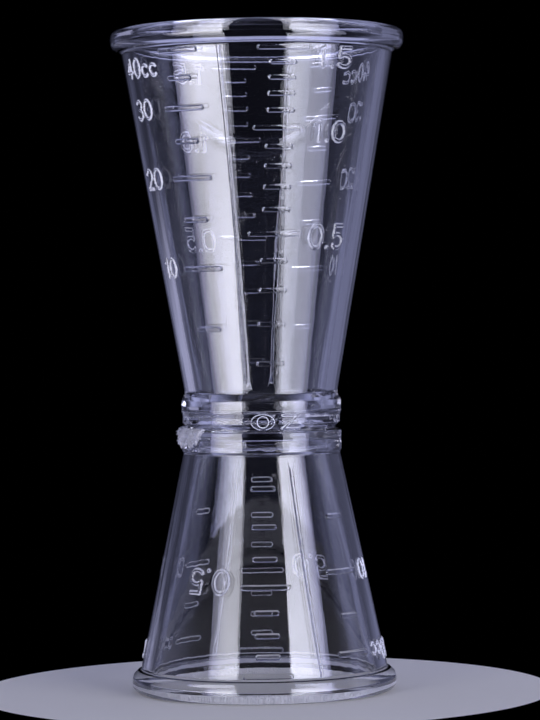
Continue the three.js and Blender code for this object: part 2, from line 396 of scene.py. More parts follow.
class RingStack:
    """A closed skin made of rings about the Z axis, from a pole at one end to a pole at the other.

    Neighbouring rings of one band share their angles and are joined by four-sided faces. Where the angles
    change, the two rings are laced together by triangles in the order of their edges' middles. A face has
    a finish where its corners' mean share of it is over a limit.
    """

    FINISHED_FROM = 0.4

    def __init__(self) -> None:
        """Starts an empty stack."""
        self.points: list[np.ndarray] = []
        self.normals: list[np.ndarray] = []
        self.share: list[np.ndarray] = []
        self.finish: list[np.ndarray] = []
        self.quads: list[np.ndarray] = []
        self.triangles: list[np.ndarray] = []
        self.count = 0
        self.last_ring: np.ndarray | None = None
        self.last_angles: np.ndarray | None = None

    def add_pole(self, height: float, way: float) -> None:
        """Closes the stack's start or end with one point on the axis.

        Args:
            height: height of the point.
            way: 1 where the skin faces up there and -1 where it faces down.
        """
        pole = np.array([self.count])
        self.points.append(np.array(((0.0, 0.0, height),)))
        self.normals.append(np.array(((0.0, 0.0, way),)))
        self.share.append(np.zeros(1))
        self.finish.append(np.zeros(1, dtype=np.int32))
        self.count += 1
        if self.last_ring is not None:
            ring = self.last_ring
            self.triangles.append(
                np.column_stack((ring, np.roll(ring, -1), np.full(ring.size, pole[0])))
            )
        self.last_ring = pole
        self.last_angles = None

    def add_band(self, angles: np.ndarray, patch: "Patch") -> None:
        """Adds rings that share their angles, and joins the first of them to the ring before.

        Args:
            angles: rising angles of the columns in radians.
            patch: the rings, as rings by columns.
        """
        rings, columns = patch.share.shape
        index = self.count + np.arange(rings * columns).reshape(rings, columns)
        self.points.append(patch.points.reshape(-1, 3))
        self.normals.append(patch.normals.reshape(-1, 3))
        self.share.append(patch.share.ravel())
        self.finish.append(patch.finish.ravel())
        self.count += rings * columns
        if self.last_ring is not None:
            self.join(index[0], angles)
        beside = np.roll(index, -1, axis=1)
        faces = np.stack((index[:-1], beside[:-1], beside[1:], index[1:]), axis=-1)
        self.quads.append(faces.reshape(-1, 4))
        self.last_ring, self.last_angles = index[-1], angles

    def join(self, ring: np.ndarray, angles: np.ndarray) -> None:
        """Joins a ring to the one before, which may be a pole or have other angles.

        Each edge makes a triangle with the point that the other ring has reached, which is the number of
        the other ring's edges whose middles come before this edge's middle.

        Args:
            ring: indices of the new ring's points.
            angles: the new ring's angles in radians.
        """
        below = self.last_ring
        after = np.roll(ring, -1)
        if self.last_angles is None:
            self.triangles.append(np.column_stack((np.full(ring.size, below[0]), after, ring)))
            return
        middle_below = edge_middles(self.last_angles)
        middle = edge_middles(angles)
        reached = np.searchsorted(middle, middle_below) % ring.size
        reached_below = np.searchsorted(middle_below, middle, side="right") % below.size
        self.triangles.append(np.column_stack((below, np.roll(below, -1), ring[reached])))
        self.triangles.append(np.column_stack((below[reached_below], after, ring)))

    def mesh(self, name: str, place: np.ndarray, bonded: int = 0) -> bpy.types.Object:
        """Makes the object, with the stack's own normals and a material number for each face.

        Args:
            name: the piece's name.
            place: four by four matrix, in millimetres, from the drawing to the assembly.
            bonded: how many of the first triangles belong to the bonded face.

        Returns:
            The new object at the origin.
        """
        points = np.vstack(self.points) @ place[:3, :3].T + place[:3, 3]
        normals = np.vstack(self.normals) @ place[:3, :3].T
        faces = [np.vstack(self.triangles), np.vstack(self.quads)]
        piece = skin_object(name, points * METRES, faces, normals)
        share, finish = np.concatenate(self.share), np.concatenate(self.finish)
        numbers = np.concatenate([
            (share[array].mean(axis=1) > self.FINISHED_FROM) * finish[array].max(axis=1)
            for array in faces
        ])
        numbers[:bonded] = FaceFinish.BONDED
        piece.data.polygons.foreach_set("material_index", numbers.astype(np.int32))
        return piece


@dataclass(frozen=True)
class Patch:
    """Rings of a skin: places, outward normals, and how much of which finish there is at each place."""

    points: np.ndarray
    normals: np.ndarray
    share: np.ndarray
    finish: np.ndarray


def edge_middles(angles: np.ndarray) -> np.ndarray:
    """Middles of a closed ring's edges, in the order of the angles they start from."""
    return (angles + np.append(angles[1:], angles[0] + 2 * np.pi)) / 2


def skin_object(
    name: str, points: np.ndarray, faces: list[np.ndarray], normals: np.ndarray | None = None
) -> bpy.types.Object:
    """Puts arrays of points and faces into a new smooth object at the origin.

    Args:
        name: the object's name.
        points: rows of three coordinates in metres.
        faces: arrays of point indices, one array for each number of corners.
        normals: a normal for each point, where the skin has its own.

    Returns:
        The object, linked to the scene.
    """
    corners = np.concatenate([array.ravel() for array in faces])
    totals = np.concatenate([np.full(len(array), array.shape[1]) for array in faces])
    starts = np.concatenate(((0,), np.cumsum(totals)[:-1]))
    mesh = bpy.data.meshes.new(name)
    mesh.vertices.add(len(points))
    mesh.vertices.foreach_set("co", np.ascontiguousarray(points, dtype=np.float32).ravel())
    mesh.loops.add(len(corners))
    mesh.loops.foreach_set("vertex_index", corners.astype(np.int32))
    mesh.polygons.add(len(totals))
    mesh.polygons.foreach_set("loop_start", starts.astype(np.int32))
    mesh.update(calc_edges=True)
    mesh.shade_smooth()
    if normals is not None:
        unit = normals / np.linalg.norm(normals, axis=1, keepdims=True)
        mesh.normals_split_custom_set_from_vertices(unit.tolist())
    piece = bpy.data.objects.new(name, mesh)
    bpy.context.scene.collection.objects.link(piece)
    return piece


def seat_piece(piece: bpy.types.Object, node: str, slot: str, *materials: bpy.types.Material) -> None:
    """Gives a piece its finishes and lets it stand for a node of the frame.

    Args:
        piece: the new piece.
        node: name of the node that it stands for.
        slot: not used.
        materials: the finishes, in the order of the mesh's material numbers.
    """
    for material in materials:
        piece.data.materials.append(material)
    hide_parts(node)
    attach(piece, "root")
    LOG.info("%s: %d faces", piece.name, len(piece.data.polygons))


# Finishes


class Nodes:
    """Short calls for placing and linking shader nodes in a tree."""

    def __init__(self, tree: bpy.types.NodeTree) -> None:
        """Takes the tree to build in."""
        self.tree = tree

    def add(self, kind: str, **values: object) -> bpy.types.Node:
        """Adds a node.

        Args:
            kind: the node's type name without the ShaderNode in front.
            values: properties of the node, or its unlinked inputs by name with spaces as underscores.

        Returns:
            The new node.
        """
        node = self.tree.nodes.new("ShaderNode" + kind)
        for key, value in values.items():
            if key in node.bl_rna.properties:
                setattr(node, key, value)
            else:
                node.inputs[key.replace("_", " ")].default_value = value
        return node

    def link(self, source: Socket, target: Socket) -> None:
        """Joins an output to an input."""
        self.tree.links.new(source, target)

    def calc(self, operation: str, *inputs: Socket | float) -> Socket:
        """Adds a sum over sockets and plain numbers.

        Args:
            operation: the Math node's operation.
            inputs: its inputs in order, each a socket to link or a number to set.

        Returns:
            The sum's result.
        """
        node = self.add("Math", operation=operation)
        for target, value in zip(node.inputs, inputs):
            if isinstance(value, Socket):
                self.link(value, target)
            else:
                target.default_value = value
        return node.outputs[0]

    def split(self, vector: Socket) -> bpy.types.NodeOutputs:
        """Adds a node that takes a vector apart, and returns its outputs X, Y and Z."""
        node = self.add("SeparateXYZ")
        self.link(vector, node.inputs[0])
        return node.outputs

    def noise(self, place: Socket, scale: float, detail: float, roughness: float) -> Socket:
        """Adds a noise over a place, and returns its value."""
        node = self.add("TexNoise", Scale=scale, Detail=detail, Roughness=roughness)
        self.link(place, node.inputs["Vector"])
        return node.outputs["Fac"]

    def rise(self, value: Socket, start: float, stop: float, kind: str = "SMOOTHSTEP") -> Socket:
        """Adds a step that goes with a value.

        Args:
            value: the value.
            start: the value at which the step is nought.
            stop: the value at which it is one.
            kind: the Map Range node's way of going between.

        Returns:
            The step, from nought to one.
        """
        node = self.add("MapRange", interpolation_type=kind)
        node.inputs["From Min"].default_value = start
        node.inputs["From Max"].default_value = stop
        self.link(value, node.inputs["Value"])
        return node.outputs["Result"]

    def blend(self, share: Socket, first: Socket, second: Socket) -> Socket:
        """Adds a mix of two colours, the second one by the share, and returns it."""
        node = self.add("Mix", data_type="RGBA")
        for name, source in (("Factor", share), ("A", first), ("B", second)):
            self.link(source, node.inputs[name])
        return node.outputs["Result"]

    def ramp(self, value: Socket, stops: list[tuple[float, Rgba]]) -> Socket:
        """Adds a colour ramp.

        Args:
            value: the value that runs along the ramp.
            stops: rising places on the ramp, each with its colour.

        Returns:
            The colour at the value.
        """
        node = self.add("ValToRGB")
        steps = node.color_ramp.elements
        while len(steps) < len(stops):
            steps.new(0.5)
        for step, (share, colour) in zip(steps, stops):
            step.position = share
            step.color = colour
        self.link(value, node.inputs["Fac"])
        return node.outputs["Color"]


class MouldedSkin:
    """Shared effect of moulded surfaces, as a node group: flow lines, waist ripples, grain and haze."""

    NAME = "moulded_skin"
    SOCKETS = (
        ("Gloss", "INPUT", "NodeSocketFloat", 0.02),
        ("Haze", "INPUT", "NodeSocketFloat", 0.03),
        ("Flow", "INPUT", "NodeSocketFloat", 1.0),
        ("Grain", "INPUT", "NodeSocketFloat", 0.2),
        ("Waist", "INPUT", "NodeSocketFloat", 0.0),
        ("Clear Tint", "INPUT", "NodeSocketColor", (1.0, 1.0, 1.0, 1.0)),
        ("Deep Tint", "INPUT", "NodeSocketColor", (0.9, 0.9, 0.95, 1.0)),
        ("Tint", "OUTPUT", "NodeSocketColor", None),
        ("Roughness", "OUTPUT", "NodeSocketFloat", None),
        ("Height", "OUTPUT", "NodeSocketFloat", None),
    )
    FLOW_STRETCH = (420.0, 420.0, 36.0)
    GRAIN_SCALE = 5200.0
    CLOUD_SCALE = 130.0
    RIPPLE_SCALE = 420.0
    RIPPLE_REACH = 0.0065
    SEAM_HEIGHT = 0.0417

    @classmethod
    def group(cls) -> bpy.types.ShaderNodeTree:
        """Builds the group once and returns it.

        Height is a sum of vertical flow lines, which are noise stretched along the cup, fine grain, and
        ripples at the waist. Roughness runs between Gloss and Gloss plus Haze with soft noise, and Tint
        between two colours.
        """
        if cls.NAME in bpy.data.node_groups:
            return bpy.data.node_groups[cls.NAME]
        tree = bpy.data.node_groups.new(cls.NAME, "ShaderNodeTree")
        for name, way, kind, value in cls.SOCKETS:
            socket = tree.interface.new_socket(name=name, in_out=way, socket_type=kind)
            if value is not None:
                socket.default_value = value
        build = Nodes(tree)
        given = tree.nodes.new("NodeGroupInput").outputs
        results = tree.nodes.new("NodeGroupOutput").inputs
        place = build.add("TexCoord").outputs["Object"]
        stretched = build.add("Mapping", Scale=cls.FLOW_STRETCH)
        build.link(place, stretched.inputs["Vector"])
        flow = build.noise(stretched.outputs["Vector"], scale=1.0, detail=2.0, roughness=0.45)
        grain = build.noise(place, cls.GRAIN_SCALE, detail=1.0, roughness=0.5)
        cloud = build.noise(place, cls.CLOUD_SCALE, detail=3.0, roughness=0.55)
        ripple = cls.waist_ripple(build, place)
        height = build.calc("MULTIPLY", flow, given["Flow"])
        height = build.calc("MULTIPLY_ADD", grain, given["Grain"], height)
        height = build.calc("MULTIPLY_ADD", ripple, given["Waist"], height)
        rough = build.calc("MULTIPLY_ADD", cloud, given["Haze"], given["Gloss"])
        tint = build.blend(cloud, given["Clear Tint"], given["Deep Tint"])
        for name, result in (("Height", height), ("Roughness", rough), ("Tint", tint)):
            build.link(result, results[name])
        return tree

    @classmethod
    def waist_ripple(cls, build: Nodes, place: Socket) -> Socket:
        """Adds coarse ripples that fade with the distance from the cemented seam.

        Args:
            build: the group's nodes.
            place: Object coordinates.

        Returns:
            The ripples' height, nought away from the seam.
        """
        ripple = build.noise(place, cls.RIPPLE_SCALE, detail=2.0, roughness=0.5)
        height = build.split(place)["Z"]
        below = build.rise(height, cls.SEAM_HEIGHT - cls.RIPPLE_REACH, cls.SEAM_HEIGHT)
        above = build.rise(height, cls.SEAM_HEIGHT + cls.RIPPLE_REACH, cls.SEAM_HEIGHT)
        return build.calc("MULTIPLY", build.calc("MULTIPLY", below, above), ripple)


@dataclass(frozen=True)
class ClearPlastic:
    """Clear styrene-like plastic with faint flow lines and a cool tint.

    Two tints and the sizes from gloss to waist go to the shared skin. Bump is the strength of its height.
    """

    name: str
    clear: Colour
    deep: Colour
    gloss: float = 0.0
    haze: float = 0.03
    flow: float = 1.0
    grain: float = 0.02
    waist: float = 3.0
    bump: float = 0.02
    ior: float = 1.57
    transmission: float = 1.0

    def material(self) -> bpy.types.Material:
        """Builds the finish as a material and returns it."""
        material = bpy.data.materials.new(self.name)
        material.use_nodes = True
        tree = material.node_tree
        tree.nodes.clear()
        build = Nodes(tree)
        skin = build.add("Group", node_tree=MouldedSkin.group())
        values = {
            "Gloss": self.gloss,
            "Haze": self.haze,
            "Flow": self.flow,
            "Grain": self.grain,
            "Waist": self.waist,
            "Clear Tint": (*self.clear, 1.0),
            "Deep Tint": (*self.deep, 1.0),
        }
        for name, value in values.items():
            skin.inputs[name].default_value = value
        shader = build.add("BsdfPrincipled", IOR=self.ior, Transmission_Weight=self.transmission)
        bump = build.add("Bump", Strength=self.bump, Distance=METRES)
        output = build.add("OutputMaterial")
        build.link(skin.outputs["Height"], bump.inputs["Height"])
        build.link(bump.outputs["Normal"], shader.inputs["Normal"])
        build.link(skin.outputs["Tint"], shader.inputs["Base Color"])
        build.link(skin.outputs["Roughness"], shader.inputs["Roughness"])
        build.link(shader.outputs["BSDF"], output.inputs["Surface"])
        return material


# Cups


@dataclass(frozen=True)
class Fillets:
    """Radii of the round corners of a cup's half section, from the seam up the outside to the floor."""

    seam: float = 0.08
    bevel: float = 0.2
    band: float = 0.5
    foot: float = 0.2
    shoulder: float = 0.5
    bead_root: float = 0.7
    bead_side: float = 1.6
    bead_top: float = 1.25
    lip: float = 0.12
    chamfer: float = 0.2
    floor: float = 0.4


@dataclass
class MeasuringCup:
    """One conical cup, drawn mouth up with the underside of its foot at height zero.

    Mouth and neck are those of the bare outer cone. The bond is the face that is cemented to the other
    cup, and the wear is the depth of the scuffs down from the rim. The steps, gaps and spans at the end
    space the mesh.
    """

    node: str
    slot: str
    finishes: tuple[ClearPlastic, ...]
    stand: Stand
    mouth_diameter: float
    neck_diameter: float
    wall: float
    floor: float
    foot_diameter: float
    foot_height: float
    foot_slope: float
    seam_bevel: float
    rib_foot_angle: float
    rib_mouth_angle: float
    columns: tuple[TickColumn, ...]
    labels: tuple[Label, ...]
    band_diameter: float | None = None
    band_height: float = 0.0
    band_letters: Label | None = None
    wear: float = 0.0
    least_wear: float = 1.0
    bond_diameter: float = 23.0
    rim_height: float = 3.45
    bead_rise: float = 0.15
    lip_chamfer: float = 0.3
    band_edge: float = 0.35
    rib_start: float = 1.2
    fillets: Fillets = Fillets()
    arc_steps: int = 6
    coarse_step: float = 6.0
    column_gap: float = 0.03
    row_gap: float = 0.068
    coarse_row: float = 2.0
    band_span: float = 4.0

    def __post_init__(self) -> None:
        """Takes the height, the rim's radius and the place from the frame's node."""
        low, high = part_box(self.node)
        self.bottom = low[2] / METRES
        self.height = (high[2] - low[2]) / METRES
        self.rim_radius = (high[0] - low[0]) / 2 / METRES
        self.lean = (self.mouth_diameter - self.neck_diameter) / 2 / self.height

    def outside(self, height: np.ndarray | float) -> np.ndarray | float:
        """Radius of the bare outer cone at a height."""
        return self.neck_diameter / 2 + self.lean * height

    def inside(self, height: np.ndarray | float) -> np.ndarray | float:
        """Radius of the bare inner cone at a height."""
        return self.outside(height) - self.wall

    def fill_height(self, volume: float) -> float:
        """Height at which the bowl holds a volume.

        The volume of a cone's slice is pi over three, times the difference of the cubes of its two radii,
        over the lean. That gives the radius at the surface, and so its height.

        Args:
            volume: the volume in cubic centimetres.

        Returns:
            The height in millimetres.
        """
        bottom = self.inside(self.floor)
        surface = np.cbrt(bottom**3 + 3 * self.lean * volume * CUBIC_MILLIMETRES / math.pi)
        return self.floor + (surface - bottom) / self.lean

    def outline(self) -> tuple[Outline, Outline, Outline]:
        """The half section, drawn from rows of a corner's radius, height and fillet.

        It goes from the axis under the foot, up the outside, over the bead and down the bowl to the axis.
        A row is added inside where the rim's wear ends.

        Returns:
            Three runs: under the foot, up the outside, and over the rim to the floor.
        """
        foot = self.foot_diameter / 2
        seam = foot if self.band_diameter is None else self.band_diameter / 2
        shoulder = self.foot_height + self.foot_slope
        bead = self.height - self.rim_height
        lip = self.inside(self.height) + self.lip_chamfer
        chamfer = self.height - self.lip_chamfer
        rounds = self.fillets
        below = [
            (0.0, 0.0, 0.0),
            (seam - self.seam_bevel, 0.0, rounds.seam),
            (seam, self.seam_bevel, rounds.bevel),
        ]
        if self.band_diameter is not None:
            below.append((seam, self.band_height - self.band_edge, rounds.band))
            below.append((foot, self.band_height + self.band_edge, rounds.band))
        below.append((foot, self.foot_height, rounds.foot))
        below.append((self.outside(shoulder), shoulder, rounds.shoulder))
        above = [
            (self.outside(bead), bead, rounds.bead_root),
            (self.rim_radius, bead + self.bead_rise, rounds.bead_side),
            (self.rim_radius, self.height, rounds.bead_top),
            (lip, self.height, rounds.lip),
            (self.inside(chamfer), chamfer, rounds.chamfer),
            (self.inside(self.floor), self.floor, rounds.floor),
            (0.0, self.floor, 0.0),
        ]
        table = np.array(below + above)
        whole = rounded_outline(table[:, :2], table[1:-1, 2], self.arc_steps)
        arc = self.arc_steps + 1
        side_end = arc * (len(below) - 1) + 1
        edge = whole.part(slice(0, arc - 1))
        bond = np.array(((self.bond_diameter / 2, 0.0),))
        downwards = np.array(((0.0, -1.0),))
        under = Outline(np.vstack((bond, edge.points)), np.vstack((downwards, edge.normals)))
        side = whole.part(slice(arc - 1, side_end))
        over = whole.part(slice(side_end, None))
        worn = self.height - max(self.wear, self.least_wear)
        wall = over.normals[-arc - 1]
        over = Outline(
            np.insert(over.points, -arc, (self.inside(worn), worn), axis=0),
            np.insert(over.normals, -arc, wall, axis=0),
        )
        return under, side, over

    def marks(self) -> list[Mark]:
        """Every raised mark, with the front set repeated on the back."""
        front = [
            self.tick(column, number) for column in self.columns for number in range(1, column.ticks + 1)
        ]
        front += [self.digits(label) for label in self.labels]
        if self.band_letters is not None:
            letters = self.digits(self.band_letters)
            front.append(replace(letters, seat=self.band_diameter / 2))
        front.append(self.rib())
        back = [
            replace(mark, angle=mark.angle + 180.0, section=mark.section.behind()) for mark in front
        ]
        return front + back

    def digits(self, label: Label) -> Mark:
        """The raised characters of a label."""
        pen = label.pen
        path = lettering(label.text, label.tall - pen.width, label.wide - pen.width)
        return Mark(path, pen, Sampling.EVEN, label.angle, label.height)

    def tick(self, column: TickColumn, number: int) -> Mark:
        """One tick of a column, at the height of its volume.

        Args:
            column: the column.
            number: place of the tick from the foot, starting at one.

        Returns:
            A bar with round ends.
        """
        height = self.fill_height(number * column.step)
        length = column.short if number % column.per_long else column.long
        reach = (length - column.bar.width) / 2
        angle = column.foot_angle + (column.mouth_angle - column.foot_angle) * height / self.height
        bar = polyline((-reach, 0.0), (reach, 0.0))
        return Mark(bar, column.bar, Sampling.EDGES, angle, height)

    def rib(self) -> Mark:
        """The parting rib, from above the foot into the rim's bead."""
        low = self.foot_height + self.foot_slope + self.rib_start
        high = self.height - self.rim_height / 2
        slant = (self.rib_mouth_angle - self.rib_foot_angle) / self.height
        middle = (low + high) / 2
        bar = polyline((0.0, low - middle), (0.0, high - middle))
        return Mark(bar, RIB, Sampling.EVEN, self.rib_foot_angle + slant * middle, middle, slant)

    def side_rows(self, side: Outline, marks: list[Mark]) -> Outline:
        """Rows of the outside: the outline's own points, even coarse rows and the rows that marks need.

        Args:
            side: the run of the outline up the outside.
            marks: the raised marks.

        Returns:
            The run again, with radius and normal taken along the straight pieces for the added heights.
        """
        own = side.points[:, 1]
        low, high = own[0], own[-1]
        wanted = [np.arange(low, high, self.coarse_row)]
        wanted += [mark.rows() for mark in marks if mark.slant == 0.0]
        added = thinned(np.concatenate(wanted), self.row_gap)
        added = added[(added > low) & (added < high)]
        clear_of_own = np.abs(added[:, None] - own).min(axis=1) > self.row_gap
        heights = np.sort(np.concatenate((own, added[clear_of_own])))
        radius = np.interp(heights, own, side.points[:, 0])
        normal = np.column_stack([np.interp(heights, own, side.normals[:, axis]) for axis in (0, 1)])
        normal /= np.linalg.norm(normal, axis=1, keepdims=True)
        return Outline(np.column_stack((radius, heights)), normal)

    def ring_angles(self, marks: list[Mark], radius: float, heights: np.ndarray) -> np.ndarray:
        """Angles of one band's columns: even coarse ones, and those that its marks need.

        Args:
            marks: the marks in the band.
            radius: the band's radius in millimetres.
            heights: the band's rising heights.

        Returns:
            Rising angles in radians.
        """
        coarse = np.arange(0.0, 360.0, self.coarse_step)
        needed = [coarse] + [mark.columns(radius, heights) % 360.0 for mark in marks]
        gap = math.degrees(self.column_gap / radius)
        return np.radians(thinned(np.concatenate(needed), gap))

    def add_side(self, stack: RingStack, side: Outline) -> None:
        """Adds the outside, in bands of rows that carry the same marks and lie in the same span of height.

        Args:
            stack: the cup's skin so far.
            side: the run of the outline up the outside.
        """
        marks = self.marks()
        rows = self.side_rows(side, marks)
        heights = rows.points[:, 1]
        spans = np.array([mark.span() for mark in marks])
        active = (heights[:, None] >= spans[:, 0] - TINY) & (heights[:, None] <= spans[:, 1] + TINY)
        block = np.floor(heights / self.band_span)[:, None]
        key = np.hstack((active, block))
        cuts = np.flatnonzero(np.any(key[1:] != key[:-1], axis=1)) + 1
        for chosen in np.split(np.arange(heights.size), cuts):
            band = rows.part(chosen)
            here = [mark for mark, on in zip(marks, active[chosen[0]]) if on]
            angles = self.ring_angles(here, band.points[:, 0].mean(), band.points[:, 1])
            stack.add_band(angles, embossed(band, angles, here))

    def worn_rows(self, over: Outline) -> np.ndarray:
        """Finds the worn rows, from the flat land of the rim to where the wear ends.

        Args:
            over: the run over the rim. The row that ends the wear and the floor's arc after it stay clear.

        Returns:
            One for each worn row, and nought for the others.
        """
        land = np.flatnonzero(over.points[:, 1] > self.height - TINY)[0]
        clear_rows = 1 + self.arc_steps + 1
        worn = np.zeros(len(over.points))
        worn[land:-clear_rows] = self.wear > 0.0
        return worn

    def build(self) -> None:
        """Makes the cup's skin and seats it on its node."""
        under, side, over = self.outline()
        plain = self.ring_angles([], self.rim_radius, np.zeros(1))
        stack = RingStack()
        stack.add_pole(0.0, -1.0)
        stack.add_band(plain, turned(under, plain, np.zeros(len(under.points))))
        self.add_side(stack, side)
        stack.add_band(plain, turned(over, plain, self.worn_rows(over)))
        stack.add_pole(self.floor, 1.0)
        piece = stack.mesh(self.node + "_clear", self.place(), bonded=plain.size)
        seat_piece(piece, self.node, self.slot, *(finish.material() for finish in self.finishes))

    def place(self) -> np.ndarray:
        """Matrix from the drawing to the assembly: lifted, and turned over about Y for a mouth below."""
        way = self.stand.value
        matrix = np.diag((way, 1.0, way, 1.0)).astype(float)
        matrix[2, 3] = self.bottom if self.stand is Stand.MOUTH_UP else self.bottom + self.height
        return matrix


def thinned(values: np.ndarray, gap: float) -> np.ndarray:
    """The least of the values in each cell of a gap's width."""
    rising = np.sort(values)
    return rising[np.unique(np.floor(rising / gap), return_index=True)[1]]


def round_axis(radius: np.ndarray, angles: np.ndarray, height: np.ndarray) -> np.ndarray:
    """Places round the Z axis: the radius times the sine, minus the radius times the cosine, the height.

    Args:
        radius: radii, in a shape that fits the others.
        angles: angles from the front in radians.
        height: heights.

    Returns:
        The three coordinates, along a new last axis.
    """
    shape = np.broadcast_shapes(radius.shape, angles.shape, height.shape)
    parts = (radius * np.sin(angles), -radius * np.cos(angles), height)
    return np.stack([np.broadcast_to(part, shape) for part in parts], axis=-1)


def turned(outline: Outline, angles: np.ndarray, worn: np.ndarray) -> Patch:
    """A plain run of outline turned about the axis.

    Args:
        outline: the run.
        angles: columns in radians.
        worn: one for each row that is scuffed, and nought for the others.

    Returns:
        The rings.
    """
    turn = angles[None, :]
    points = round_axis(outline.points[:, :1], turn, outline.points[:, 1:])
    normals = round_axis(outline.normals[:, :1], turn, outline.normals[:, 1:])
    share = np.broadcast_to(worn[:, None], points.shape[:2])
    return Patch(points, normals, share, (share > 0.0) * FaceFinish.SCUFFED)


def embossed(outline: Outline, angles: np.ndarray, marks: list[Mark]) -> Patch:
    """A run of outline whose radius is raised by the marks.

    The radius is that of the outline plus the highest mark at each place. The normal is one outwards,
    less the slope along the ring sideways, less the slope up the outline and up the mark upwards. A flank
    is four times the share of the relief reached, times the share that is left, so it is one half way up.

    Args:
        outline: rows going up the outside.
        angles: columns in radians.
        marks: the marks that reach these rows.

    Returns:
        The rings, with the marks' finishes on their flanks.
    """
    radius, height = outline.points[:, :1], outline.points[:, 1:]
    shape = (radius.size, angles.size)
    raised = np.zeros(shape)
    flank = np.zeros(shape)
    finish = np.zeros(shape, dtype=np.int32)
    slope_along = np.zeros(shape)
    slope_up = np.zeros(shape)
    for mark in marks:
        low, high = mark.reach()
        middle = np.radians(mark.angle_at(height))
        off = (angles[None, :] - middle + math.pi) % (2 * math.pi) - math.pi
        along = off * radius.mean()
        near = np.flatnonzero(np.any((along > low[0]) & (along < high[0]), axis=0))
        if near.size == 0:
            continue
        place = along[:, near]
        tall, across, upward = mark.relief_at(place, np.broadcast_to(height - mark.height, place.shape))
        share = tall / mark.section.relief
        tall = np.where(tall > 0.0, tall + np.maximum(mark.seat - radius, 0.0), 0.0)
        higher = tall > raised[:, near]
        flank[:, near] = np.where(higher, 4.0 * share * (1.0 - share), flank[:, near])
        finish[:, near] = np.where(higher, mark.section.finish, finish[:, near])
        raised[:, near] = np.where(higher, tall, raised[:, near])
        slope_along[:, near] = np.where(higher, across, slope_along[:, near])
        slope_up[:, near] = np.where(higher, upward, slope_up[:, near])
    base_slope = -outline.normals[:, 1:] / outline.normals[:, :1]
    turn = angles[None, :]
    points = round_axis(radius + raised, turn, height)
    outward = round_axis(np.ones((1, 1)), turn, -(base_slope + slope_up))
    sideways = round_axis(np.ones((1, 1)), turn + math.pi / 2, np.zeros((1, 1)))
    return Patch(points, outward - sideways * slope_along[..., None], flank, finish)


# Cement


